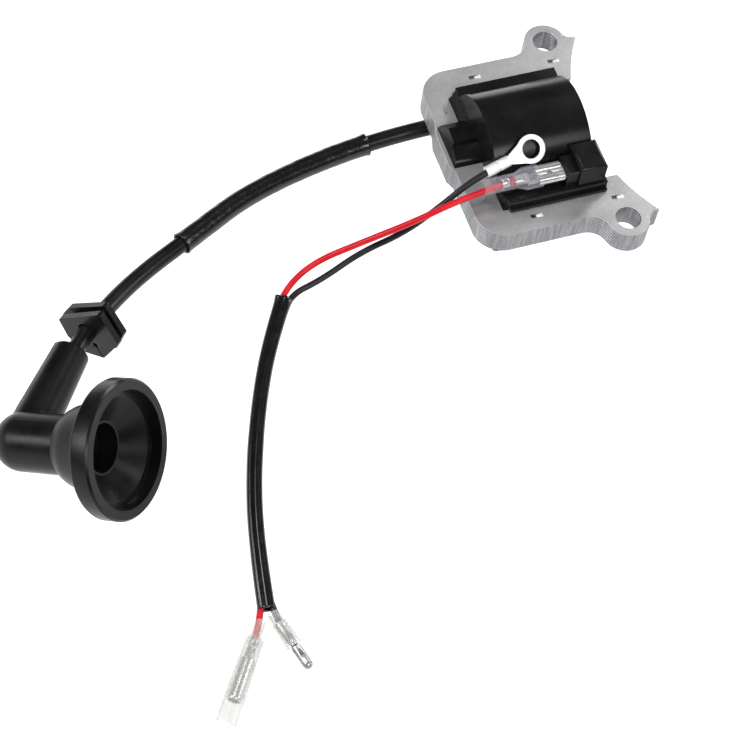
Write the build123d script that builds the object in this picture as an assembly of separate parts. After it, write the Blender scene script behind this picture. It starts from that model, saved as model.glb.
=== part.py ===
from build123d import *
import math
import os

# Ignition coil of a small two-stroke engine. Millimetres, +Z up.
# Origin: midway between the two mounting holes, on the lower face of the laminated core.
# +X points at the flywheel, the high-tension lead leaves toward -X.

# ---- driving dimensions ----
FLOOR_Z = -12.8  # surface that the coil lies on

PLATES = 7
PLATE_T = 1.0
CORE_T = PLATES * PLATE_T
HOLE_SPACING = 62.0
HOLE_R = 3.4
LEG_OUT = 28.2  # outer edge of the outer legs
LEG_IN = 20.2
BACK_X = -39.5
LIMB_X = -31.5  # inner edge of the back limb
BULGE_X = -40.6
BACK_R = 8.0
EAR_R = 5.9
EAR_FILLET = 5.3
FACE_R = 54.0  # swept by the flywheel magnets
FACE_CX = 53.6
TIP_Y = 30.6
SHOE_Y = 17.0
CENTRE_LEG = 4.0
LANCE_L, LANCE_W, LANCE_D = 3.3, 1.2, 0.7

DOME_Y, DOME_Z, DOME_R = 0.8, 5.0, 15.6
DOME_X0, DOME_X1 = -31.6, -4.2
BODY_X0, BODY_X1 = -31.3, -2.5
WALL = 1.6
WEB_Y = 19.9
LIP_Z, DECK_Z = 8.1, 10.4
TOWER_Y, TOWER_Z, TOWER_R = 18.9, -4.3, 3.7

LEAD_R = 2.28
WIRE_R = 0.85
HARNESS_OFFSET = 0.87  # each wire from the middle of the harness sleeve
HARNESS_Z = -10.0

TAB_Y, TAB_Z = -16.4, 13.9
TAB_W, TAB_T = 4.75, 0.8
RAIL_Y, RAIL_R, RAIL_IN = 1.6, 1.35, 1.0
PIN_R, BULLET_BORE_R = 1.25, 1.3

RING_C = Vector(-21.9, -10.6, 18.1)
RING_N = Vector(0, -0.653, 0.757)
RING_A = Vector(-0.966, -0.193, -0.163)

CUP_C = Vector(-144.7, -66.1, 12.9)
CUP_A = Vector(0.7225, -0.5346, 0.4384).normalized()
CUP_R = 17.1
ELBOW_T = -30.3
SOCKET_R = 6.0
BARREL_R = 7.4
GROMMET_AT = 14.75  # along the lead's last free run

LEAD_PTS = [
    Vector(-31.0, 18.9, -4.3),
    Vector(-46.5, 18.9, -4.3),
    Vector(-71.0, 15.5, -4.2),
    Vector(-92.9, 9.4, -4.2),
    Vector(-106.4, 2.4, -4.2),
    Vector(-130.8, -10.35, -3.4),
    Vector(-148.15, -25.82, -1.53),
]
HARNESS_PTS = [
    Vector(-90.1, -19.2, HARNESS_Z),
    Vector(-98.35, -32.0, HARNESS_Z),
    Vector(-107.3, -50.7, HARNESS_Z),
    Vector(-114.9, -71.8, HARNESS_Z),
    Vector(-119.2, -90.1, HARNESS_Z),
    Vector(-121.5, -104.9, HARNESS_Z),
]
RED_FIRST = [
    Vector(-28.1, TAB_Y, TAB_Z),
    Vector(-42.0, -17.6, 13.2),
    Vector(-55.0, -17.7, 7.5),
    Vector(-68.8, -15.45, -0.5),
    Vector(-81.3, -13.9, -7.2),
]
BLACK_FIRST = [
    RING_C + RING_A * 8.5,
    RING_C + RING_A * 17.3,
    Vector(-48.4, -15.9, 8.3),
    Vector(-58.0, -16.9, 1.7),
    Vector(-69.0, -16.1, -4.0),
    Vector(-80.5, -19.0, -8.4),
    Vector(-90.05, -20.6, HARNESS_Z),
]
RED_CORNER = Vector(-122.2, -105.4, HARNESS_Z)
RED_END = Vector(-127.9, -113.7, HARNESS_Z)
BLACK_CORNER = Vector(-120.6, -105.4, HARNESS_Z)
BLACK_AXIS = Vector(0.271, -0.9625, 0).normalized()


# ---- helpers ----
def save(part, name):
    part.label = name
    export_step(part, f"parts/{name}.step")


def block(x0, x1, y0, y1, z0, z1):
    return Pos(x0, y0, z0) * Box(x1 - x0, y1 - y0, z1 - z0, align=(Align.MIN,) * 3)


def rod(start, axis, radius, length):
    return Plane(start, z_dir=axis) * Cylinder(
        radius, length, align=(Align.CENTER, Align.CENTER, Align.MIN)
    )


def turned(start, axis, points):
    """Solid turned about an axis: points are (distance along it, radius)."""
    plane = Plane(start, z_dir=axis)
    profile = Polyline(*[(r, t) for t, r in points], close=True)
    return plane * revolve(Plane.XZ * make_face(profile), Axis.Z)


def prism_x(points, x0, x1):
    """Prism along X of a closed (Y, Z) outline."""
    face = make_face(Polyline(*[(x0, y, z) for y, z in points], close=True))
    return extrude(face, amount=x1 - x0, dir=(1, 0, 0))


def prism_y(points, y0, y1):
    """Prism along Y of a closed (X, Z) outline."""
    face = make_face(Polyline(*[(x, y0, z) for x, z in points], close=True))
    return extrude(face, amount=y1 - y0, dir=(0, 1, 0))


def corner_radii(points, shares=None):
    """Arc radius at each inner point: a share of the shorter run over tan(half the turn)."""
    radii = []
    for i in range(1, len(points) - 1):
        before = points[i] - points[i - 1]
        after = points[i + 1] - points[i]
        half = math.radians(before.get_angle(after)) / 2
        share = (shares or {}).get(i, 0.45)
        radii.append(share * min(before.length, after.length) / math.tan(half))
    return radii


def tube(points, radii, outer, inner=0.0):
    path = FilletPolyline(*points, radius=radii)
    plane = Plane(points[0], z_dir=points[1] - points[0])
    section = Circle(outer) - Circle(inner) if inner else Circle(outer)
    solid = sweep(plane * section, path=path)
    return solid, path.length


def side_step(points, offset):
    """Points of the route that runs beside a level route, at a set distance from it."""
    moved = []
    for i, point in enumerate(points):
        before = (point - points[i - 1]) if i else points[1] - points[0]
        after = points[i + 1] - point if i + 1 < len(points) else before
        n1 = Vector(before.Y, -before.X, 0).normalized()
        n2 = Vector(after.Y, -after.X, 0).normalized()
        moved.append(point + (n1 + n2) * (offset / (1 + n1.dot(n2))))
    return moved


# ---- core ----
def plate_half_outline():
    """One half of the stamped plate's outer edge, from the back edge to the pole tip."""
    ear = Vector(0, HOLE_SPACING / 2)
    fillet_c = Vector(-10.9, LEG_OUT + EAR_FILLET)
    toward = (fillet_c - ear).normalized()
    leave = ear + toward * EAR_R
    notch = math.radians(15)
    rise = Vector(math.cos(notch), math.sin(notch))
    notch_a = ear + rise * EAR_R
    tip_x = FACE_CX - math.sqrt(FACE_R**2 - TIP_Y**2)
    return [
        Line((BULGE_X, 8), (BACK_X, 12)),
        Line((BACK_X, 12), (BACK_X, LEG_OUT - BACK_R)),
        RadiusArc((BACK_X, LEG_OUT - BACK_R), (BACK_X + BACK_R, LEG_OUT), BACK_R),
        Line((BACK_X + BACK_R, LEG_OUT), (fillet_c.X, LEG_OUT)),
        TangentArc((fillet_c.X, LEG_OUT), (leave.X, leave.Y), tangent=(1, 0)),
        ThreePointArc((leave.X, leave.Y), (0, ear.Y + EAR_R), (notch_a.X, notch_a.Y)),
        TangentArc((notch_a.X, notch_a.Y), (8.08, 30.7), tangent=(rise.Y, -rise.X)),
        Line((8.08, 30.7), (tip_x, TIP_Y)),
    ]


def plate_face():
    upper = plate_half_outline()
    lower = [mirror(edge, about=Plane.XZ) for edge in upper[1:]]
    tip_x = FACE_CX - math.sqrt(FACE_R**2 - TIP_Y**2)
    near = [
        Line((BULGE_X, 8), (BULGE_X, -3)),
        Line((BULGE_X, -3), (BACK_X, -5.5)),
        Line((BACK_X, -5.5), (BACK_X, -12)),
    ]
    front = ThreePointArc((tip_x, TIP_Y), (FACE_CX - FACE_R, 0), (tip_x, -TIP_Y))
    blank = make_face(Curve() + upper + lower + near + [front])
    for side in (1, -1):
        window = Polyline(
            (LIMB_X, side * CENTRE_LEG),
            (LIMB_X, side * LEG_IN),
            (-2.2, side * LEG_IN),
            (-1.4, side * SHOE_Y),
            (3.5, side * SHOE_Y),
            (3.5, side * CENTRE_LEG),
            close=True,
        )
        blank -= make_face(window)
        blank -= Pos(0, side * HOLE_SPACING / 2) * Circle(HOLE_R)
    return blank


def lances(z_top, length, width, depth):
    """V-shaped interlock dimples, pressed down from a level."""
    wedge = prism_y([(-length / 2, 0), (length / 2, 0), (0, -depth)], -width / 2, width / 2)
    places = []
    for side in (1, -1):
        places += [Pos(-0.3, side * 23.9, z_top), Pos(-23.5, side * 24.0, z_top)]
        places.append(Pos(-35.1, side * 15.05, z_top) * Rot(0, 0, 90))
    return [place * wedge for place in places]


def core_plates():
    face = plate_face()
    for i in range(PLATES):
        z0 = i * PLATE_T
        plate = Pos(0, 0, z0) * extrude(face, amount=PLATE_T)
        plate -= lances(z0 + PLATE_T, LANCE_L, LANCE_W, LANCE_D)
        if i:
            plate += lances(z0, LANCE_L - 0.1, LANCE_W - 0.1, LANCE_D - 0.05)
        save(plate, f"core_plate_{i + 1:02d}")


# ---- housing ----
def dome(radius, x0, x1):
    return rod(Vector(x0, DOME_Y, DOME_Z), Vector(1, 0, 0), radius, x1 - x0)


def back_block():
    profile = [(10, 7), (9.5, 8.4), (6.3, 11), (1.6, 11), (1.3, 9.5), (-0.6, 9.3)]
    profile += [(-2.6, 8.6), (-3.7, 7.7), (-4, 7)]
    solid = prism_x(profile, BACK_X, DOME_X0 + 3)
    slope = [(BACK_X - 1, 6.9), (BACK_X + 0.05, 6.9), (BACK_X + 1.6, 11.5), (BACK_X - 1, 11.5)]
    return solid - prism_y(slope, -6, 12)


def boss():
    solid = block(-11.0, -3.5, -20.2, -11.0, DECK_Z - 1, 17.4)
    solid = fillet(solid.edges().group_by(Axis.Z)[-1], 0.9)
    collar = block(-14.4, -10.5, -19.5, -12.8, DECK_Z - 1, 15.7)
    collar = fillet(collar.edges().group_by(Axis.Z)[-1], 0.7)
    return solid + collar


def cavity():
    box = block(BODY_X0 + WALL, BODY_X1 - WALL, 1.6 - WEB_Y, WEB_Y - 1.6, FLOOR_Z, DECK_Z - WALL)
    room = box + dome(DOME_R - WALL, DOME_X0 + WALL, DOME_X1 - WALL)
    pocket = rod(Vector(DOME_X0 - 2, TOWER_Y, TOWER_Z), Vector(1, 0, 0), LEAD_R, 10.4)
    return room + pocket


def spade_tab():
    outline = Polyline(
        (-8.6, -TAB_W / 2),
        (-20.4, -TAB_W / 2),
        (-21.4, -TAB_W / 2 + 0.9),
        (-21.4, TAB_W / 2 - 0.9),
        (-20.4, TAB_W / 2),
        (-8.6, TAB_W / 2),
        close=True,
    )
    blade = Pos(0, TAB_Y, TAB_Z - TAB_T / 2) * extrude(make_face(outline), amount=TAB_T)
    foot = block(-9.4, -8.6, -17.9, -15.4, 5.0, TAB_Z + TAB_T / 2)
    blade -= Pos(-18.2, TAB_Y, TAB_Z) * Cylinder(0.8, 2)
    return blade + foot


def housing():
    shell = block(BODY_X0, BODY_X1, -WEB_Y, WEB_Y, FLOOR_Z, DECK_Z)
    shell += block(-30.0, BODY_X1, -21.5, 20.7, CORE_T, LIP_Z)
    shell += block(-30.0, BODY_X1, -20.7, 19.9, CORE_T, DECK_Z)
    shell += block(-31.4, -29.0, -21.5, -8.0, CORE_T, LIP_Z)
    shell += block(-31.4, -29.0, -20.7, -8.0, CORE_T, DECK_Z)
    shell += dome(DOME_R, DOME_X0, DOME_X1) & block(-40, 0, -20, 20, CORE_T, 30)
    bead = dome(DOME_R + 0.25, DOME_X0, DOME_X0 + 0.9) & block(-40, 0, -20, 20, CORE_T, 30)
    shelf = [(-33.2, CORE_T), (-30, CORE_T), (-30, DECK_Z - 0.2), (-31.0, DECK_Z - 0.2)]
    shell += bead + prism_y(shelf, 5.0, 18.6) + back_block() + boss()
    pocket = rod(Vector(-33, TOWER_Y, TOWER_Z), Vector(1, 0, 0), TOWER_R, 12)
    shell += pocket & block(-40, 0, 0, 30, FLOOR_Z, -0.2)
    corner = Polyline((-31.6, -22), (-31.6, -17.3), (-31.4, -17.3), (-29.6, -22), close=True)
    shell -= Pos(0, 0, CORE_T) * extrude(make_face(corner), amount=6)
    corner = Polyline(
        (BODY_X0 - 1, 1 - WEB_Y), (BODY_X0 - 1, -WEB_Y - 1), (BODY_X0 + 3, -WEB_Y - 1), close=True
    )
    shell -= Pos(0, 0, FLOOR_Z - 1) * extrude(make_face(corner), amount=0.8 - FLOOR_Z)
    # rounded channel where the deck meets the lip, far and near
    shell -= block(-31.4, BODY_X1 + 0.1, 19.3, 21, LIP_Z, DECK_Z + 0.1)
    room = cavity()
    shell -= room
    leg = block(LIMB_X, 0, -CENTRE_LEG - 0.1, CENTRE_LEG + 0.1, -0.1, CORE_T + 0.1)
    shell -= leg
    limb = block(BACK_X - 2, LIMB_X + 0.2, -30, 30, -0.1, CORE_T)
    shell -= limb
    return shell - spade_tab()


# ---- sealed inner pieces ----
def ring_block(x0, x1, half, bore, corner):
    """Rounded square tube about the centre leg; with no bore it fits over the leg itself."""
    plane = Plane((x0, 0, CORE_T / 2), z_dir=(1, 0, 0))
    outer = RectangleRounded(2 * half, 2 * half, corner)
    if bore:
        hole = RectangleRounded(2 * bore, 2 * bore, max(corner - half + bore, 0.2))
    else:
        hole = Rectangle(2 * CENTRE_LEG + 0.2, CORE_T + 0.2)
        hole = hole if abs(plane.x_dir.Y) > 0.5 else Rot(0, 0, 90) * hole
    return extrude(plane * (outer - hole), amount=x1 - x0)


def inner_pieces():
    pieces = {}
    former = ring_block(-28.4, -6.0, 5.3, None, 0.5)
    for x in (-28.4, -7.0):
        former += ring_block(x, x + 1.0, 7.4, None, 2.0)
    pieces["primary_bobbin"] = former
    pieces["primary_winding"] = ring_block(-27.4, -7.0, 7.0, 5.3, 1.9)
    pieces["insulating_tape"] = ring_block(-27.4, -7.0, 7.4, 7.0, 2.2)
    tube_2 = ring_block(-27.0, -7.4, 8.2, 7.4, 3.0)
    for x in (-27.0, -20.8, -14.6, -8.2):
        tube_2 += ring_block(x, x + 0.8, 10.3, 8.0, 5.0)
    pieces["secondary_bobbin"] = tube_2
    wire = ring_block(-26.2, -20.8, 9.9, 8.2, 4.7)
    wire += ring_block(-20.0, -14.6, 9.9, 8.2, 4.7)
    wire += ring_block(-13.8, -8.2, 9.9, 8.2, 4.7)
    wire += block(-21.0, -19.8, 9.0, 9.8, 3.0, 4.0) + block(-14.8, -13.6, 9.0, 9.8, 3.0, 4.0)
    pieces["secondary_bobbin"] -= wire
    pieces["secondary_winding"] = wire
    pieces["control_board"] = block(-27.5, -7.0, -15.4, -14.4, -10.0, 6.5)
    can = rod(Vector(-22, -13.2, -9.0), Vector(0, 0, 1), 2.4, 4.6)
    can &= block(-25, -19, -14.4, -10, -12, 0)
    legs = [block(x - 0.25, x + 0.25, -14.4, -13.2, -4.4, -3.9) for x in (-23.3, -22, -20.7)]
    pieces["transistor"] = can + block(-24, -20, -14.4, -12.6, -4.4, -3.9) + legs
    pieces["capacitor"] = block(-17.5, -12.0, -14.4, -12.0, -9.5, -4.5)
    pieces["resistor"] = rod(Vector(-17, -15.4 - 1.1, -2), Vector(1, 0, 0), 1.1, 6.5)
    strap = block(-5.4, -4.9, -14.9, -CENTRE_LEG, 2.0, 5.0)
    pieces["earth_strap"] = strap + block(-7.0, -4.9, -15.4, -14.9, 2.0, 5.0)
    spike = rod(Vector(-29.6, TOWER_Y, TOWER_Z), Vector(1, 0, 0), 0.6, 5.2)
    spike += turned(Vector(-31, TOWER_Y, TOWER_Z), Vector(1, 0, 0), [(0, 0), (0, 0.1), (1.6, 0.6), (1.6, 0)])
    spike += rod(Vector(-24.4, TOWER_Y - 0.05, TOWER_Z), Vector(0, -1, 0), 0.6, 8.0)
    pieces["ht_contact"] = spike + Pos(-24.4, TOWER_Y, TOWER_Z) * Sphere(0.6)
    return pieces


def potting(pieces):
    fill = cavity() & block(BODY_X0 + WALL, BODY_X1, -30, 30, FLOOR_Z + 0.6, 30)
    fill -= ring_block(-28.4, -6.0, 5.3, None, 0.5)
    fill -= block(LIMB_X, 0, -CENTRE_LEG - 0.1, CENTRE_LEG + 0.1, -0.1, CORE_T + 0.1)
    for piece in pieces.values():
        fill -= piece
    fill -= spade_tab()
    return max(fill.solids(), key=lambda s: s.volume)


# ---- receptacle on the spade tab, its sleeve, and the ring terminal ----
def at_tab(x):
    return Plane((x, TAB_Y, TAB_Z), x_dir=(0, 1, 0), z_dir=(1, 0, 0))


def arc_band(side):
    """Curled rail in section: from under the blade round to just above it."""
    start, stop = (-90, 150) if side > 0 else (30, 270)
    centre = (side * RAIL_Y, 0)
    mid_r = (RAIL_R + RAIL_IN) / 2
    arc = CenterArc(centre, mid_r, start, stop - start)
    return trace(arc, RAIL_R - RAIL_IN)


def receptacle():
    section = arc_band(1) + arc_band(-1)
    section += Pos(0, (-1.35 - 0.48) / 2) * Rectangle(3.2, 0.87)
    box = extrude(at_tab(-22.0) * section, amount=7.1)
    neck = block(-24.6, -21.8, TAB_Y - 1.6, TAB_Y + 1.6, TAB_Z - 1.2, TAB_Z - 0.7)
    crimp = extrude(at_tab(-28.1) * RectangleRounded(2.6, 2.2, 0.8), amount=3.7)
    link = block(-29.9, -28.1, TAB_Y - 0.7, TAB_Y + 0.7, TAB_Z - 1.3, TAB_Z - WIRE_R)
    grip = extrude(at_tab(-31.7) * (Circle(1.4) - Circle(WIRE_R)), amount=1.9)
    return box + neck + crimp + link + grip


def receptacle_sleeve():
    stations = [(-21.1, 3.45, 2.05), (-25.4, 3.45, 2.05), (-27.6, 2.15, 2.1), (-36.8, 2.1, 2.1)]

    def hull(grow, ends):
        faces = []
        for i, (x, a, b) in enumerate(stations):
            if i == 0:
                x += ends
            if i == len(stations) - 1:
                x -= ends
            faces.append(at_tab(x) * Ellipse(a + grow, b + grow))
        return loft(faces, ruled=True)

    return hull(0, 0) - hull(-0.33, 0.01)


def ring_terminal():
    plane = Plane(RING_C, x_dir=RING_A, z_dir=RING_N)
    ring = Circle(3.85)
    neck = make_face(
        Polyline((1.0, 3.5), (6.6, 1.15), (7.4, 1.15), (7.4, -1.15), (6.6, -1.15), (1.0, -3.5), close=True)
    )
    flat = extrude(plane * (ring + neck - Circle(2.55)), amount=0.35, both=True)
    along = Plane(RING_C + RING_A * 6.9, x_dir=RING_N.cross(RING_A), z_dir=RING_A)
    shell = extrude(along * RectangleRounded(2.9, 2.7, 1.0), amount=6.7)
    core = extrude(along.offset(1.6) * Circle(WIRE_R), amount=6)
    # seam of the rolled barrel and the groove between its two crimps
    seam = Plane(RING_C + RING_N * 1.5, x_dir=RING_A, z_dir=RING_N) * Pos(10.4, 0) * Box(5.6, 0.35, 0.5)
    groove = (along.offset(3.1) * (Circle(3) - Circle(1.25)))
    return flat + shell - core - seam - extrude(groove, amount=0.35)


# ---- bullets on the harness ----
def female_bullet(corner, axis):
    grip = turned(corner + axis * 7.3, axis, [(0, WIRE_R), (0, 1.35), (1.8, 1.35), (1.8, WIRE_R)])
    link = turned(corner + axis * 9.1, axis, [(0, WIRE_R), (0, 1.15), (1.0, 1.15), (1.0, WIRE_R)])
    wire_grip = turned(
        corner + axis * 10.07, axis, [(0, 0), (0, 1.3), (2.3, 1.3), (2.9, 1.85), (2.9, 0)]
    )
    barrel = turned(
        corner + axis * 12.97,
        axis,
        [(0, 0), (0, 1.85), (10.2, 1.85), (10.6, 1.7), (10.6, BULLET_BORE_R), (0.6, BULLET_BORE_R), (0.6, 0)],
    )
    return grip + link + wire_grip + barrel


def female_sleeve(corner, axis):
    outline = [(0, 1.05), (0, 1.3), (4.0, 1.35), (5.2, 2.3), (12, 2.5), (27.6, 2.8)]
    outline += [(27.6, 2.5), (12, 2.2), (5.3, 2.0), (4.2, 1.1)]
    return turned(corner + axis * 2.4, axis, outline)


def male_bullet(corner, axis):
    grip = turned(corner + axis * 3.8, axis, [(0, WIRE_R), (0, 1.3), (3.8, 1.3), (3.8, WIRE_R)])
    stub = turned(
        corner + axis * 7.6,
        axis,
        [(0, 0), (0, 1.2), (1.6, 1.2), (2.2, 0.85), (3.0, 0.85), (3.5, PIN_R), (8.6, PIN_R), (8.6, 0)],
    )
    nose = Pos(*(corner + axis * 16.2)) * Sphere(PIN_R)
    side = Plane(corner + axis * 14.87, x_dir=axis, z_dir=(0, 0, 1))
    window = extrude(side * RectangleRounded(2.2, 1.0, 0.45), amount=3, both=True)
    return grip + stub + nose - window


def male_sleeve(corner, axis):
    outline = [(0, 1.2), (0, 1.45), (2.2, 1.5), (3.2, 1.9), (9.6, 2.05)]
    outline += [(9.6, 1.75), (3.2, 1.6), (2.2, 1.2)]
    return turned(corner + axis * 0.8, axis, outline)


# ---- boot, grommet, strain relief ----
def boot_axes():
    elbow = CUP_C + CUP_A * ELBOW_T
    stem = (LEAD_PTS[-1] - elbow).normalized()
    return elbow, stem


def boot():
    elbow, stem = boot_axes()
    outer = [
        (ELBOW_T, 0),
        (ELBOW_T, BARREL_R),
        (-17.4, BARREL_R),
        (-17.0, 7.9),
        (-15.9, 8.3),
        (-15.6, 9.0),
        (-13.8, 9.9),
        (-8.1, 11.6),
        (-5.4, 14.0),
        (-4.9, CUP_R - 0.3),
        (-4.3, CUP_R),
        (-0.5, CUP_R),
        (0, CUP_R - 0.5),
        (0, 0),
    ]
    solid = turned(CUP_C, CUP_A, outer) + Pos(*elbow) * Sphere(BARREL_R)
    length = (LEAD_PTS[-1] - elbow).length - 2.1
    solid += turned(elbow, stem, [(0, 0), (0, 6.0), (length - 0.4, 4.75), (length, 4.4), (length, 0)])
    room = [
        (0.1, 0),
        (0.1, 14.4),
        (-3.0, 14.1),
        (-3.0, 12.6),
        (-7.2, 6.6),
        (-7.2, SOCKET_R),
        (-13.0, SOCKET_R),
        (-13.0, 4.2),
        (-31.5, 4.2),
        (-31.5, 0),
    ]
    solid -= turned(CUP_C, CUP_A, room)
    return solid - rod(elbow, stem, LEAD_R + 0.3, 32)


def spring_terminal():
    profile = [(-26.0, 3.3), (-26.0, 4.2)]
    for i in range(8):
        t = -25.6 + 1.1 * i
        profile += [(t, 4.2), (t + 0.45, 3.8), (t + 0.7, 3.8)]
    profile += [(-17.0, 4.2), (-16.6, 4.2), (-16.6, 3.3)]
    return turned(CUP_C, CUP_A, profile)


def grommet():
    along = (LEAD_PTS[-1] - LEAD_PTS[-2]).normalized()
    level = Vector(-along.Y, along.X, 0).normalized()
    if level.X < 0:
        level = level * -1
    middle = Plane(LEAD_PTS[-2] + along * GROMMET_AT, x_dir=level, z_dir=along)
    front = [(-8.7, -1.3), (3.5, 9.7), (9.3, 1.4), (5.3, -7.4), (-0.8, -9.4), (-5.8, -6.5)]
    groove = [(-6.4, -1.0), (2.4, 6.6), (6.4, 1.0), (3.6, -5.0), (-0.6, -6.2), (-4.2, -4.6)]
    rear = [(-9.6, -3.6), (-7.8, 0.4), (2.9, 9.4), (8.7, 1.4), (6.9, -5.6), (-0.5, -9.4), (-7.0, -7.4)]

    def layer(points, low, high, corner):
        sketch = fillet(make_face(Polyline(*points, close=True)).vertices(), corner)
        return extrude(middle.offset(low) * sketch, amount=high - low)

    solid = layer(front, 1.5, 3.25, 0.9)
    solid += layer(groove, -0.05, 1.55, 0.8)
    solid += layer(rear, -1.75, 0.0, 0.9)
    across = middle.offset(-5)
    solid -= extrude(across * Circle(LEAD_R + 0.3), amount=10)
    solid -= extrude(middle.offset(0.4) * Pos(2.6, -3.8) * Circle(0.75), amount=4)
    slit = Pos(4.2, -5.9) * Rot(0, 0, -53) * Rectangle(4.0, 0.35)
    return solid - extrude(middle.offset(1.0) * slit, amount=4)


def strain_relief():
    mouth = [(0, LEAD_R), (0, 3.3), (1.0, 3.3), (3.2, 2.8), (3.2, LEAD_R)]
    return turned(Vector(-33, TOWER_Y, TOWER_Z), Vector(-1, 0, 0), mouth)


# ---- cords ----
def cords():
    elbow, _ = boot_axes()
    lead = LEAD_PTS + [LEAD_PTS[-1] + (elbow - LEAD_PTS[-1]).normalized() * 15]
    lead_radii = corner_radii(lead, {len(lead) - 2: 0.25})
    middle_radii = corner_radii(HARNESS_PTS)
    turns = []
    for i in range(1, len(HARNESS_PTS) - 1):
        before = HARNESS_PTS[i] - HARNESS_PTS[i - 1]
        after = HARNESS_PTS[i + 1] - HARNESS_PTS[i]
        turns.append(math.copysign(1, before.cross(after).Z))
    red_side = side_step(HARNESS_PTS, HARNESS_OFFSET)
    black_side = side_step(HARNESS_PTS, -HARNESS_OFFSET)
    red = RED_FIRST + red_side[:-1] + [RED_CORNER, RED_END]
    black = BLACK_FIRST + black_side[1:-1] + [BLACK_CORNER, BLACK_CORNER + BLACK_AXIS * 7.6]
    red_radii = corner_radii(red, {len(RED_FIRST): 0.28, len(red) - 2: 0.3})
    black_radii = corner_radii(black)
    for k, radius in enumerate(middle_radii):
        red_radii[len(RED_FIRST) + k] = radius - turns[k] * HARNESS_OFFSET
        black_radii[len(BLACK_FIRST) - 1 + k] = radius + turns[k] * HARNESS_OFFSET
    for name, points, radii, size in (
        ("ht_lead", lead, lead_radii, LEAD_R),
        ("red_wire", red, red_radii, WIRE_R),
        ("black_wire", black, black_radii, WIRE_R),
    ):
        solid, length = tube(points, radii, size)
        share = solid.volume / (math.pi * size**2 * length)
        print(name, "length", round(length, 1), "volume share", round(share, 4))
        print("  radii", [round(r, 1) for r in radii])
        save(solid, name)
    return lead, lead_radii, middle_radii


def sleeves(lead, lead_radii, middle_radii):
    first = lead[1] + (lead[2] - lead[1]).normalized() * 9.5
    last = lead[4] + (lead[5] - lead[4]).normalized() * 8.7
    vinyl, _ = tube([first, *lead[2:5], last], lead_radii[1:4], 2.95, 2.45)
    save(vinyl, "vinyl_sleeve")
    start = HARNESS_PTS[0] + (HARNESS_PTS[1] - HARNESS_PTS[0]).normalized() * 3.0
    harness, _ = tube([start, *HARNESS_PTS[1:]], middle_radii, 2.05, 1.76)
    save(harness, "harness_sleeve")


def main():
    os.makedirs("parts", exist_ok=True)
    core_plates()
    save(housing(), "housing")
    save(spade_tab(), "spade_tab")
    pieces = inner_pieces()
    for name, piece in pieces.items():
        save(piece, name)
    save(potting(pieces), "epoxy_potting")
    save(receptacle(), "receptacle")
    save(receptacle_sleeve(), "receptacle_sleeve")
    save(ring_terminal(), "ring_terminal")
    red_axis = (RED_END - RED_CORNER).normalized()
    save(female_bullet(RED_CORNER, red_axis), "female_bullet")
    save(female_sleeve(RED_CORNER, red_axis), "female_bullet_sleeve")
    save(male_bullet(BLACK_CORNER, BLACK_AXIS), "male_bullet")
    save(male_sleeve(BLACK_CORNER, BLACK_AXIS), "male_bullet_sleeve")
    save(boot(), "boot")
    save(spring_terminal(), "spring_terminal")
    save(grommet(), "grommet")
    save(strain_relief(), "strain_relief")
    sleeves(*cords())


main()
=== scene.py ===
"""Looks of a small-engine ignition coil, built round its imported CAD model. Metres, +Z up."""

import math
import random

import bmesh
import bpy
from mathutils import Matrix, Vector


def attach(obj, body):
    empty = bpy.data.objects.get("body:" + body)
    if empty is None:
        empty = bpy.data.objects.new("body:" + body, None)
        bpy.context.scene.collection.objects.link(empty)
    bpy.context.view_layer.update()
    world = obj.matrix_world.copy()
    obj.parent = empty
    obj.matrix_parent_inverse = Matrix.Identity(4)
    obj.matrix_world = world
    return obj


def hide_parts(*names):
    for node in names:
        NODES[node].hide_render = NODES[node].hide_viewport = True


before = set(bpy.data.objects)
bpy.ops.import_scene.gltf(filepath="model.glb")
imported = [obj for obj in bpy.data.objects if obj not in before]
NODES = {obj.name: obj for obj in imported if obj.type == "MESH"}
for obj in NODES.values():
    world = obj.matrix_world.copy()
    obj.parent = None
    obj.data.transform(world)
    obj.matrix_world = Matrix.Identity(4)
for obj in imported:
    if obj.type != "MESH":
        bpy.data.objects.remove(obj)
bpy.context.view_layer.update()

MM = 0.001
FLOOR_Z = -12.8 * MM
PLATES = [name for name in NODES if name.startswith("core_plate_")]

# cords: the routes' points in millimetres
LEAD_R = 2.28
WIRE_R = 0.85
HARNESS_OFFSET = 0.87
HARNESS_Z = -10.0
LEAD_PTS = [
    (-31.0, 18.9, -4.3),
    (-46.5, 18.9, -4.3),
    (-71.0, 15.5, -4.2),
    (-92.9, 9.4, -4.2),
    (-106.4, 2.4, -4.2),
    (-130.8, -10.35, -3.4),
    (-148.15, -25.82, -1.53),
]
CUP_C = Vector((-144.7, -66.1, 12.9))
CUP_A = Vector((0.7225, -0.5346, 0.4384)).normalized()
ELBOW = CUP_C - CUP_A * 30.3
HARNESS_PTS = [
    (-90.1, -19.2, HARNESS_Z),
    (-98.35, -32.0, HARNESS_Z),
    (-107.3, -50.7, HARNESS_Z),
    (-114.9, -71.8, HARNESS_Z),
    (-119.2, -90.1, HARNESS_Z),
    (-121.5, -104.9, HARNESS_Z),
]
RED_FIRST = [
    (-28.1, -16.4, 13.9),
    (-42.0, -17.6, 13.2),
    (-55.0, -17.7, 7.5),
    (-68.8, -15.45, -0.5),
    (-81.3, -13.9, -7.2),
]
RING_C = Vector((-21.9, -10.6, 18.1))
RING_A = Vector((-0.966, -0.193, -0.163))
BLACK_FIRST = [
    RING_C + RING_A * 8.5,
    RING_C + RING_A * 17.3,
    (-48.4, -15.9, 8.3),
    (-58.0, -16.9, 1.7),
    (-69.0, -16.1, -4.0),
    (-80.5, -19.0, -8.4),
    (-90.05, -20.6, HARNESS_Z),
]
RED_LAST = [(-122.2, -105.4, HARNESS_Z), (-127.9, -113.7, HARNESS_Z)]
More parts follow.
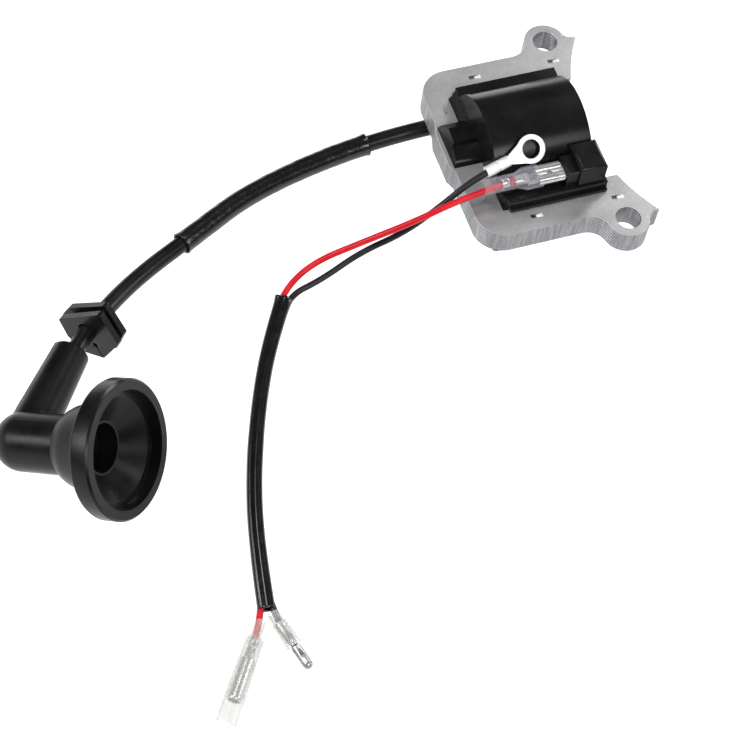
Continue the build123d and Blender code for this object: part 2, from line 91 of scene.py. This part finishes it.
BLACK_CORNER = Vector((-120.6, -105.4, HARNESS_Z))
BLACK_AXIS = Vector((0.271, -0.9625, 0)).normalized()
BLACK_LAST_RUN = 7.6
LEAD_IN_STEM = 15

# sleeves over the cords: where they start and end along the route, spacing of sections, sizes (mm)
SLEEVE_FROM, SLEEVE_TO, SLEEVE_STEP = 25.2, 86.0, 0.45
SLEEVE_R, SLEEVE_WALL = 2.84, 0.38
TUBE_FROM, TUBE_TO, TUBE_STEP = 2.2, 92.0, 0.5
TUBE_HALF_WIDTH, TUBE_HALF_HEIGHT, TUBE_WALL = 1.98, 1.45, 0.25
# the tube's flat side: how fast it falls across the width, and its lowest share of the height
FLAT_SLOPE, FLAT_CURVE, FLAT_LOWEST = 0.172, 0.086, 0.724

# the boot's outer sizes (mm), and the sides on which its two moulding lines run
BARREL_R = 7.36
STEM_FOOT_R, STEM_TIP_R = 6.0, 4.75
STEM_SHORT_OF_ROUTE = 2.1
BARREL_LINE_SIDE = (-0.2237, 0.4266, 0.8762)
STEM_SIDE = (-0.75, 0.45, 0.48)

LAYER_MM = 0.5  # spacing of the seams drawn on the core's cut sides
FLOOR_HALF = 1.6  # metres
FLOOR_GLOW = 0.90

# name, place, aim, size (metres) and power (watts) of each soft light
LIGHTS = [
    ("left_wall", (-0.62, 0.05, 0.42), (-0.10, -0.03, 0), (0.25, 0.50), 4.0),
    ("front", (0.02, -0.62, 0.62), (-0.06, -0.03, 0), (0.50, 0.25), 4.2),
    ("right_wall", (0.60, -0.20, 0.35), (-0.03, 0, 0), (0.20, 0.45), 2.0),
    ("far_right", (0.55, 0.45, 0.45), (-0.11, -0.07, 0), (0.20, 0.40), 4.0),
    ("overhead", (-0.10, 0.25, 0.80), (-0.08, 0, 0), (0.20, 0.15), 1.0),
]


# ---- camera, lights and floor ----
def camera():
    data = bpy.data.cameras.new("camera")
    data.lens = 97.03
    data.sensor_width = 36.0
    data.clip_start = 0.01
    data.clip_end = 20
    obj = bpy.data.objects.new("camera", data)
    right = Vector((0.9453, -0.3151, 0.0850))
    up = Vector((0.2293, 0.8266, 0.5142))
    back = Vector((-0.2323, -0.4665, 0.8535))
    turn = Matrix((right, up, back)).transposed().to_4x4()
    obj.matrix_world = Matrix.Translation((-0.19603, -0.28906, 0.4306)) @ turn
    bpy.context.scene.collection.objects.link(obj)
    bpy.context.scene.camera = obj


def softbox(name, place, aim, size, power):
    data = bpy.data.lights.new(name, "AREA")
    data.shape = "RECTANGLE"
    data.size, data.size_y = size
    data.energy = power
    obj = bpy.data.objects.new(name, data)
    obj.location = place
    obj.rotation_euler = (Vector(aim) - Vector(place)).to_track_quat("-Z", "Y").to_euler()
    bpy.context.scene.collection.objects.link(obj)


def studio():
    for light in LIGHTS:
        softbox(*light)
    world = bpy.data.worlds.new("world")
    world.use_nodes = True
    world.node_tree.nodes["Background"].inputs["Color"].default_value = (0.9, 0.93, 1.0, 1)
    world.node_tree.nodes["Background"].inputs["Strength"].default_value = 0.07
    bpy.context.scene.world = world
    bpy.context.scene.view_settings.view_transform = "Standard"
    bm = bmesh.new()
    bmesh.ops.create_grid(bm, x_segments=1, y_segments=1, size=FLOOR_HALF)
    bmesh.ops.translate(bm, verts=bm.verts, vec=(-0.08, 0, FLOOR_Z - 0.0002))
    mesh = bpy.data.meshes.new("floor")
    bm.to_mesh(mesh)
    floor = bpy.data.objects.new("floor", mesh)
    bpy.context.scene.collection.objects.link(floor)
    mat = bpy.data.materials.new("floor_white")
    mat.use_nodes = True
    shader = mat.node_tree.nodes["Principled BSDF"]
    shader.inputs["Base Color"].default_value = (0.5, 0.5, 0.5, 1)
    shader.inputs["Roughness"].default_value = 1.0
    shader.inputs["Specular IOR Level"].default_value = 0.0
    shader.inputs["Emission Color"].default_value = (1, 1, 1, 1)
    shader.inputs["Emission Strength"].default_value = FLOOR_GLOW
    mesh.materials.append(mat)


# ---- materials ----
class Finish:
    """A procedural material on object coordinates (metres), with its colour, roughness and relief."""

    def __init__(self, name, rough, metallic=0.0, specular=0.5, coat=0.0, alpha=1.0):
        self.mat = bpy.data.materials.new(name)
        self.mat.use_nodes = True
        self.tree = self.mat.node_tree
        self.shader = self.tree.nodes["Principled BSDF"]
        self.shader.inputs["Metallic"].default_value = metallic
        self.shader.inputs["Roughness"].default_value = rough
        self.shader.inputs["Specular IOR Level"].default_value = specular
        self.shader.inputs["Coat Weight"].default_value = coat
        self.shader.inputs["Coat Roughness"].default_value = 0.12
        self.shader.inputs["Alpha"].default_value = alpha
        self.coords = self.tree.nodes.new("ShaderNodeTexCoord").outputs["Object"]
        self.relief = None

    def link(self, a, b):
        self.tree.links.new(a, b)

    def noise(self, scale, detail=4.0, stretch=(1, 1, 1), rough=0.55):
        mapping = self.tree.nodes.new("ShaderNodeMapping")
        mapping.inputs["Scale"].default_value = stretch
        node = self.tree.nodes.new("ShaderNodeTexNoise")
        node.inputs["Scale"].default_value = scale
        node.inputs["Detail"].default_value = detail
        node.inputs["Roughness"].default_value = rough
        self.link(self.coords, mapping.inputs["Vector"])
        self.link(mapping.outputs["Vector"], node.inputs["Vector"])
        return node.outputs["Fac"]

    def span(self, value, low, high, start=0.3, end=0.7):
        node = self.tree.nodes.new("ShaderNodeMapRange")
        node.inputs["From Min"].default_value = start
        node.inputs["From Max"].default_value = end
        node.inputs["To Min"].default_value = low
        node.inputs["To Max"].default_value = high
        self.link(value, node.inputs["Value"])
        return node.outputs["Result"]

    def colour(self, value, stops):
        ramp = self.tree.nodes.new("ShaderNodeValToRGB")
        while len(ramp.color_ramp.elements) < len(stops):
            ramp.color_ramp.elements.new(0.5)
        for element, (place, tone) in zip(ramp.color_ramp.elements, stops):
            element.position = place
            element.color = (*tone, 1)
        self.link(value, ramp.inputs["Fac"])
        return ramp.outputs["Color"]

    def base(self, value, stops):
        self.link(self.colour(value, stops), self.shader.inputs["Base Color"])

    def roughness(self, value, low, high):
        self.link(self.span(value, low, high), self.shader.inputs["Roughness"])

    def bump(self, value, height, strength=1.0):
        node = self.tree.nodes.new("ShaderNodeBump")
        node.inputs["Strength"].default_value = strength
        node.inputs["Distance"].default_value = height * MM
        self.link(value, node.inputs["Height"])
        if self.relief:
            self.link(self.relief, node.inputs["Normal"])
        self.relief = node.outputs["Normal"]
        self.link(self.relief, self.shader.inputs["Normal"])

    def wave(self, axis, period_mm):
        """Bands across an axis. The wave node repeats every 2 pi / 20 of its scaled coordinate."""
        node = self.tree.nodes.new("ShaderNodeTexWave")
        node.bands_direction = axis
        node.inputs["Scale"].default_value = 2 * math.pi / (20 * period_mm * MM)
        self.link(self.coords, node.inputs["Vector"])
        return node.outputs["Fac"]

    def mix(self, share, a, b, kind="MIX"):
        node = self.tree.nodes.new("ShaderNodeMix")
        node.data_type = "RGBA"
        node.blend_type = kind
        if isinstance(share, (int, float)):
            node.inputs["Factor"].default_value = share
        else:
            self.link(share, node.inputs["Factor"])
        self.link(a, node.inputs["A"])
        self.link(b, node.inputs["B"])
        return node.outputs["Result"]

    def upright(self):
        """1 on faces that lie flat, 0 on sides."""
        normal = self.tree.nodes.new("ShaderNodeNewGeometry").outputs["Normal"]
        parts = self.tree.nodes.new("ShaderNodeSeparateXYZ")
        self.link(normal, parts.inputs["Vector"])
        return self.span(self.math("ABSOLUTE", parts.outputs["Z"], 0.0), 0, 1, 0.55, 0.9)

    def lean(self, axis, start, end):
        """Rises from 0 to 1 as a face's true normal leans along an axis."""
        normal = self.tree.nodes.new("ShaderNodeNewGeometry").outputs["True Normal"]
        parts = self.tree.nodes.new("ShaderNodeSeparateXYZ")
        self.link(normal, parts.inputs["Vector"])
        return self.span(parts.outputs[axis], 0, 1, start, end)

    def math(self, kind, a, b):
        node = self.tree.nodes.new("ShaderNodeMath")
        node.operation = kind
        for socket, value in zip(node.inputs, (a, b)):
            if isinstance(value, (int, float)):
                socket.default_value = value
            else:
                self.link(value, socket)
        return node.outputs[0]


def grey(value):
    return (value, value, value * 1.01)


def core_steel():
    made = Finish("core_steel", 0.42, metallic=0.5)
    cloud = made.noise(60, 5, rough=0.6)
    fine = made.noise(1100, 3, rough=0.7)
    mixed = made.math("ADD", made.math("MULTIPLY", cloud, 0.6), made.math("MULTIPLY", fine, 0.4))
    flat = made.colour(mixed, [(0.34, grey(0.31)), (0.5, grey(0.36)), (0.66, grey(0.42))])
    shear = made.noise(1900, 3, stretch=(1, 1, 0.05), rough=0.7)
    sheared = made.colour(
        shear,
        [(0.32, (0.13, 0.135, 0.145)), (0.5, (0.21, 0.215, 0.225)), (0.68, (0.32, 0.325, 0.33))],
    )
    seams = made.colour(made.wave("Z", LAYER_MM), [(0.0, grey(0.72)), (0.22, grey(1.0))])
    sheared = made.mix(1.0, sheared, seams, "MULTIPLY")
    # painted shade and painted highlight on the two flanks of each pressed dimple, set by which way a
    # lying face's true normal leans in X: painted shade where it leans towards +X
    dark = made.colour(cloud, [(0.3, grey(0.02)), (0.7, grey(0.05))])
    flat = made.mix(made.lean("X", 0.2, 0.3), flat, dark)
    # painted highlight where the true normal leans towards -X
    pale = made.colour(cloud, [(0.3, grey(0.80)), (0.7, grey(0.95))])
    flat = made.mix(made.lean("X", -0.2, -0.3), flat, pale)
    made.link(made.mix(made.upright(), sheared, flat), made.shader.inputs["Base Color"])
    made.roughness(cloud, 0.34, 0.50)
    made.bump(made.span(shear, 0, 1), 0.015, 0.4)
    made.bump(made.wave("Z", LAYER_MM), 0.025, 0.4)
    made.bump(fine, 0.003, 0.5)
    return made.mat


def black_plastic():
    made = Finish("housing_black", 0.20, specular=0.24)
    cloud = made.noise(160, 4)
    made.base(cloud, [(0.35, grey(0.0045)), (0.7, grey(0.009))])
    made.roughness(made.noise(45, 5), 0.17, 0.30)
    made.bump(made.noise(2600, 2), 0.004, 0.35)
    made.bump(cloud, 0.03, 0.25)
    return made.mat


def rubber(name, tone, rough, specular=0.17):
    made = Finish(name, rough, specular=specular)
    cloud = made.noise(120, 4)
    made.base(cloud, [(0.3, grey(tone * 0.75)), (0.7, grey(tone * 1.35))])
    made.roughness(cloud, rough - 0.06, rough + 0.08)
    made.bump(made.noise(3200, 3, rough=0.7), 0.006, 0.5)
    return made.mat


def speckled_vinyl(name, rough, pits):
    made = Finish(name, rough, specular=0.32, coat=0.25)
    cloud = made.noise(260, 4)
    ripple = made.noise(1000, 4, rough=0.65)
    made.base(cloud, [(0.3, grey(0.004)), (0.75, grey(0.009))])
    made.roughness(ripple, rough - 0.04, rough + 0.12)
    made.bump(ripple, pits, 0.9)
    made.bump(cloud, pits * 1.5, 0.5)
    return made.mat


def insulation(name, dark, light, rough):
    made = Finish(name, rough, specular=0.28)
    cloud = made.noise(220, 3)
    made.base(cloud, [(0.3, dark), (0.7, light)])
    made.roughness(cloud, rough - 0.06, rough + 0.08)
    made.bump(made.noise(1800, 2), 0.004, 0.4)
    return made.mat


def tinned(name, dark, light, rough, metallic=1.0):
    made = Finish(name, rough, metallic=metallic)
    cloud = made.noise(500, 4)
    made.base(cloud, [(0.25, dark), (0.75, light)])
    made.roughness(made.noise(700, 3, stretch=(0.2, 1, 1)), rough - 0.06, rough + 0.10)
    made.bump(made.noise(500, 2, stretch=(0.25, 1, 1)), 0.0008, 0.3)
    return made.mat


def clear_pvc(name, dark, light, alpha, edge):
    """Clear plastic: its opacity rises from alpha, seen face on, to edge, seen along the wall."""
    made = Finish(name, 0.12, specular=0.4, alpha=alpha)
    cloud = made.noise(300, 2)
    made.base(cloud, [(0.3, dark), (0.75, light)])
    made.roughness(cloud, 0.10, 0.20)
    made.bump(made.noise(200, 1), 0.002, 0.1)
    rim = made.tree.nodes.new("ShaderNodeLayerWeight")
    rim.inputs["Blend"].default_value = 0.5
    opacity = made.span(rim.outputs["Facing"], alpha, edge, 0.35, 0.95)
    made.link(opacity, made.shader.inputs["Alpha"])
    return made.mat


def plain_pieces():
    """Dark tone, light tone, roughness and metallic of each piece sealed inside, by node."""
    copper = ((0.50, 0.20, 0.08), (0.80, 0.40, 0.20), 0.3, 1.0)
    moulded = ((0.05, 0.05, 0.05), (0.10, 0.10, 0.10), 0.5, 0.0)
    return {
        "primary_bobbin": moulded,
        "secondary_bobbin": moulded,
        "primary_winding": copper,
        "secondary_winding": copper,
        "insulating_tape": ((0.55, 0.42, 0.08), (0.80, 0.66, 0.22), 0.35, 0.0),
        "control_board": ((0.03, 0.16, 0.07), (0.06, 0.26, 0.12), 0.45, 0.0),
        "transistor": ((0.015, 0.015, 0.015), (0.04, 0.04, 0.04), 0.5, 0.0),
        "capacitor": ((0.42, 0.14, 0.03), (0.60, 0.22, 0.06), 0.3, 0.0),
        "resistor": ((0.25, 0.42, 0.46), (0.40, 0.58, 0.62), 0.4, 0.0),
        "ht_contact": ((0.55, 0.40, 0.15), (0.80, 0.64, 0.32), 0.25, 1.0),
    }


# ---- mesh helpers ----
def add_mesh(name, verts, faces, mat):
    mesh = bpy.data.meshes.new(name)
    mesh.from_pydata([tuple(v) for v in verts], [], faces)
    mesh.validate()
    mesh.update()
    obj = bpy.data.objects.new(name, mesh)
    bpy.context.scene.collection.objects.link(obj)
    mesh.materials.append(mat)
    for polygon in mesh.polygons:
        polygon.use_smooth = True
    return obj


def paint(node, mat):
    mesh = NODES[node].data
    if mesh.materials:
        for i in range(len(mesh.materials)):
            mesh.materials[i] = mat
    else:
        mesh.materials.append(mat)


def soften(node, width_mm, segments=2, angle=28):
    """Rounds a CAD node's sharp edges in the render; its own vertices stay as they are."""
    obj = NODES[node]
    weld = obj.modifiers.new("weld", "WELD")
    weld.merge_threshold = 2e-6
    bevel = obj.modifiers.new("bevel", "BEVEL")
    bevel.width = width_mm * MM
    bevel.segments = segments
    bevel.limit_method = "ANGLE"
    bevel.angle_limit = math.radians(angle)
    bevel.use_clamp_overlap = True
    bevel.miter_outer = "MITER_ARC"
    normals = obj.modifiers.new("normals", "WEIGHTED_NORMAL")
    normals.keep_sharp = False


def nurbs(name, points, radius_mm=0.0, mat=None):
    data = bpy.data.curves.new(name, "CURVE")
    data.dimensions = "3D"
    data.resolution_u = 24
    data.bevel_depth = radius_mm * MM
    data.bevel_resolution = 8
    data.use_fill_caps = True
    spline = data.splines.new("NURBS")
    spline.points.add(len(points) - 1)
    for slot, point in zip(spline.points, points):
        slot.co = (*(Vector(point) * MM), 1)
    spline.order_u = 3
    spline.use_endpoint_u = True
    obj = bpy.data.objects.new(name, data)
    bpy.context.scene.collection.objects.link(obj)
    if mat:
        data.materials.append(mat)
    return obj


def line_of(points):
    """Points read off the route's own NURBS spline, in metres."""
    helper = nurbs("helper", points)
    bpy.context.view_layer.update()
    mesh = bpy.data.meshes.new_from_object(helper)
    line = [v.co.copy() for v in mesh.vertices]
    bpy.data.objects.remove(helper)
    bpy.data.meshes.remove(mesh)
    return line


def part_of(line, start_mm, end_mm, step_mm):
    """Evenly spaced points of a line between two distances along it."""
    runs = [(b - a).length for a, b in zip(line, line[1:])]
    count = max(2, round((end_mm - start_mm) / step_mm))
    result = []
    for i in range(count + 1):
        want = (start_mm + (end_mm - start_mm) * i / count) * MM
        j = 0
        while j < len(runs) - 1 and want > runs[j]:
            want -= runs[j]
            j += 1
        result.append(line[j].lerp(line[j + 1], want / runs[j]))
    return result


def skin(name, line, section, sides, mat, wall_mm):
    """Thin open sleeve along a line. section(i, angle) gives (across, up) in millimetres."""
    outer, inner = [], []
    count = len(line)
    for i, point in enumerate(line):
        ahead = (line[min(i + 1, count - 1)] - line[max(i - 1, 0)]).normalized()
        across = ahead.cross(Vector((0, 0, 1))).normalized()
        up = across.cross(ahead).normalized()
        for k in range(sides):
            angle = 2 * math.pi * k / sides
            a, b = section(i, angle)
            size = math.hypot(a, b)
            thin = (size - wall_mm) / size
            outer.append(point + (across * a + up * b) * MM)
            inner.append(point + (across * a + up * b) * thin * MM)
    verts = outer + inner
    faces = []
    shift = len(outer)
    for i in range(count - 1):
        for k in range(sides):
            a, b = i * sides + k, i * sides + (k + 1) % sides
            faces.append((a, b, b + sides, a + sides))
            faces.append((shift + a, shift + a + sides, shift + b + sides, shift + b))
    for k in range(sides):
        a, b = k, (k + 1) % sides
        faces.append((a, shift + a, shift + b, b))
        a, b = (count - 1) * sides + k, (count - 1) * sides + (k + 1) % sides
        faces.append((a, b, shift + b, shift + a))
    return add_mesh(name, verts, faces, mat)


def waves(seed, terms, low, high, turns=4):
    """A smooth seeded ripple of two variables."""
    source = random.Random(seed)
    table = []
    for _ in range(terms):
        frequency, lobes = source.uniform(low, high), source.randint(1, turns)
        table.append((frequency, lobes, source.uniform(0, 6.28), source.uniform(0.4, 1)))
    total = sum(weight for _, _, _, weight in table)

    def ripple(along, angle):
        return sum(w * math.sin(f * along + n * angle + p) for f, n, p, w in table) / total

    return ripple


def side_step(points, offset):
    """Points of the route that runs beside a level route, at a set distance from it."""
    points = [Vector(p) for p in points]
    moved = []
    for i, point in enumerate(points):
        before = (point - points[i - 1]) if i else points[1] - points[0]
        after = points[i + 1] - point if i + 1 < len(points) else before
        n1 = Vector((before.y, -before.x, 0)).normalized()
        n2 = Vector((after.y, -after.x, 0)).normalized()
        moved.append(point + (n1 + n2) * (offset / (1 + n1.dot(n2))))
    return moved


# ---- cords ----
def high_tension_lead(mats):
    points = [Vector(p) for p in LEAD_PTS]
    points.append(points[-1] + (ELBOW - points[-1]).normalized() * LEAD_IN_STEM)
    lead = nurbs("lead", points, LEAD_R, mats["lead"])
    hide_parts("ht_lead")
    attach(lead, "coil")
    line = part_of(line_of(points), SLEEVE_FROM, SLEEVE_TO, SLEEVE_STEP)
    ripple = waves(3, 14, 0.25, 1.3)
    wrinkle = waves(5, 18, 1.6, 4.2, 9)

    def section(i, angle):
        along = i * SLEEVE_STEP
        near = min(i, len(line) - 1 - i) * SLEEVE_STEP
        flare = 0.28 * math.exp(-near / 0.7)
        size = SLEEVE_R + flare + 0.10 * ripple(along, angle) + 0.055 * wrinkle(along, angle)
        size += 0.05 * math.sin(2 * angle + 0.12 * along)
        return size * math.cos(angle), size * math.sin(angle)

    sleeve = skin("lead_sleeve", line, section, 56, mats["vinyl"], SLEEVE_WALL)
    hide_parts("vinyl_sleeve")
    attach(sleeve, "coil")


def harness(mats):
    red_side = side_step(HARNESS_PTS, HARNESS_OFFSET)
    black_side = side_step(HARNESS_PTS, -HARNESS_OFFSET)
    red_points = RED_FIRST + red_side[:-1] + RED_LAST
    black_last = [BLACK_CORNER, BLACK_CORNER + BLACK_AXIS * BLACK_LAST_RUN]
    black_points = BLACK_FIRST + black_side[1:-1] + black_last
    red = nurbs("red_lead", red_points, WIRE_R, mats["red"])
    black = nurbs("black_lead", black_points, WIRE_R, mats["black_wire"])
    line = part_of(line_of(HARNESS_PTS), TUBE_FROM, TUBE_TO, TUBE_STEP)
    ripple = waves(11, 10, 0.1, 0.7)

    def section(i, angle):
        along = i * TUBE_STEP
        mouth = math.exp(-along / 1.6)
        c, s = math.cos(angle), math.sin(angle)
        ends = math.exp(-along / 16) + math.exp(-(len(line) * TUBE_STEP - along) / 16)
        wide = TUBE_HALF_WIDTH + 0.30 * mouth + 0.26 * ends + 0.04 * ripple(along, 0)
        high = TUBE_HALF_HEIGHT + 0.30 * mouth + 0.04 * ripple(along, 2)
        a = wide * math.copysign(abs(c) ** 0.86, c)
        b = high * math.copysign(abs(s) ** 0.9, s)
        across = a + 0.05
        if s > 0 and across > 0:
            # the tube is pulled flat between its two wires
            fall = FLAT_SLOPE * across + FLAT_CURVE * across**2
            b = min(b, high * max(1 - fall, FLAT_LOWEST))
        return a, b + 0.015 * ripple(along, angle)

    sleeve = skin("harness_tube", line, section, 64, mats["harness"], TUBE_WALL)
    for piece, node, slot in (
        (red, "red_wire", "red_insulation"),
        (black, "black_wire", "black_insulation"),
        (sleeve, "harness_sleeve", "black_vinyl"),
    ):
        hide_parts(node)
        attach(piece, "harness")


# ---- moulding lines of the boot ----
def bead(name, points, radius_mm, mat, body):
    curve = nurbs(name, points, radius_mm, mat)
    curve.data.bevel_resolution = 2
    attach(curve, body)


def boot_lines(mat):
    barrel = Vector(BARREL_LINE_SIDE).normalized()
    barrel = (barrel - CUP_A * barrel.dot(CUP_A)).normalized()
    points = [CUP_C + CUP_A * t + barrel * BARREL_R for t in (-19.6, -23, -27, -30.3)]
    for degrees in (20, 40, 60, 80, 100, 120):
        turn = math.radians(degrees)
        back = CUP_A * BARREL_R * math.sin(turn)
        points.append(ELBOW - back + barrel * BARREL_R * math.cos(turn))
    bead("boot_line", points, 0.14, mat, "plug_boot")
    mouth = Vector(LEAD_PTS[-1])
    axis = (mouth - ELBOW).normalized()
    side = Vector(STEM_SIDE)
    side = (side - axis * side.dot(axis)).normalized()
    length = (mouth - ELBOW).length - STEM_SHORT_OF_ROUTE
    points = []
    for share in (0.22, 0.4, 0.6, 0.8, 0.99):
        radius = STEM_FOOT_R + (STEM_TIP_R - STEM_FOOT_R) * share - 0.04
        points.append(ELBOW + axis * length * share + side * radius)
    bead("stem_line", points, 0.12, mat, "plug_boot")


# ---- main ----
def main():
    camera()
    mats = {
        "lead": rubber("lead_rubber", 0.005, 0.30, 0.30),
        "vinyl": speckled_vinyl("sleeve_vinyl", 0.20, 0.07),
        "harness": speckled_vinyl("harness_vinyl", 0.14, 0.012),
        "red": insulation("red_insulation", (0.46, 0.003, 0.010), (0.64, 0.006, 0.018), 0.34),
        "black_wire": insulation(
            "black_insulation", (0.006, 0.006, 0.008), (0.013, 0.013, 0.016), 0.36
        ),
        "boot": rubber("boot_rubber", 0.0045, 0.30),
    }
    high_tension_lead(mats)
    harness(mats)
    studio()
    steel = core_steel()
    for plate in PLATES:
        paint(plate, steel)
        soften(plate, 0.10)
    plastic = black_plastic()
    paint("housing", plastic)
    soften("housing", 0.35, 3)
    paint("epoxy_potting", plastic)
    bright = tinned("tin_bright", (0.78, 0.77, 0.75), (0.88, 0.87, 0.86), 0.42, 0.55)
    satin = tinned("tin_satin", (0.22, 0.215, 0.21), (0.40, 0.39, 0.385), 0.30, 0.85)
    for node in ("ring_terminal", "spade_tab", "earth_strap", "spring_terminal"):
        paint(node, bright)
        soften(node, 0.08)
    pale = tinned("tin_pale", (0.46, 0.45, 0.44), (0.62, 0.61, 0.60), 0.26, 0.8)
    for node, mat in (("receptacle", pale), ("female_bullet", pale), ("male_bullet", satin)):
        paint(node, mat)
        soften(node, 0.08)
    lilac = clear_pvc("lilac_pvc", (0.50, 0.47, 0.56), (0.70, 0.67, 0.76), 0.10, 0.45)
    paint("receptacle_sleeve", lilac)
    clear = clear_pvc("clear_pvc", (0.52, 0.53, 0.50), (0.64, 0.65, 0.62), 0.22, 0.65)
    for node in ("female_bullet_sleeve", "male_bullet_sleeve"):
        paint(node, clear)
    boot_lines(mats["boot"])
    for node, width in (("boot", 0.5), ("grommet", 0.45), ("strain_relief", 0.3)):
        paint(node, mats["boot"])
        soften(node, width, 3)
    for node, (dark, light, rough, metallic) in plain_pieces().items():
        made = Finish(node + "_finish", rough, metallic=metallic)
        made.base(made.noise(300, 3), [(0.3, dark), (0.7, light)])
        made.bump(made.noise(1500, 2), 0.01, 0.4)
        paint(node, made.mat)


main()
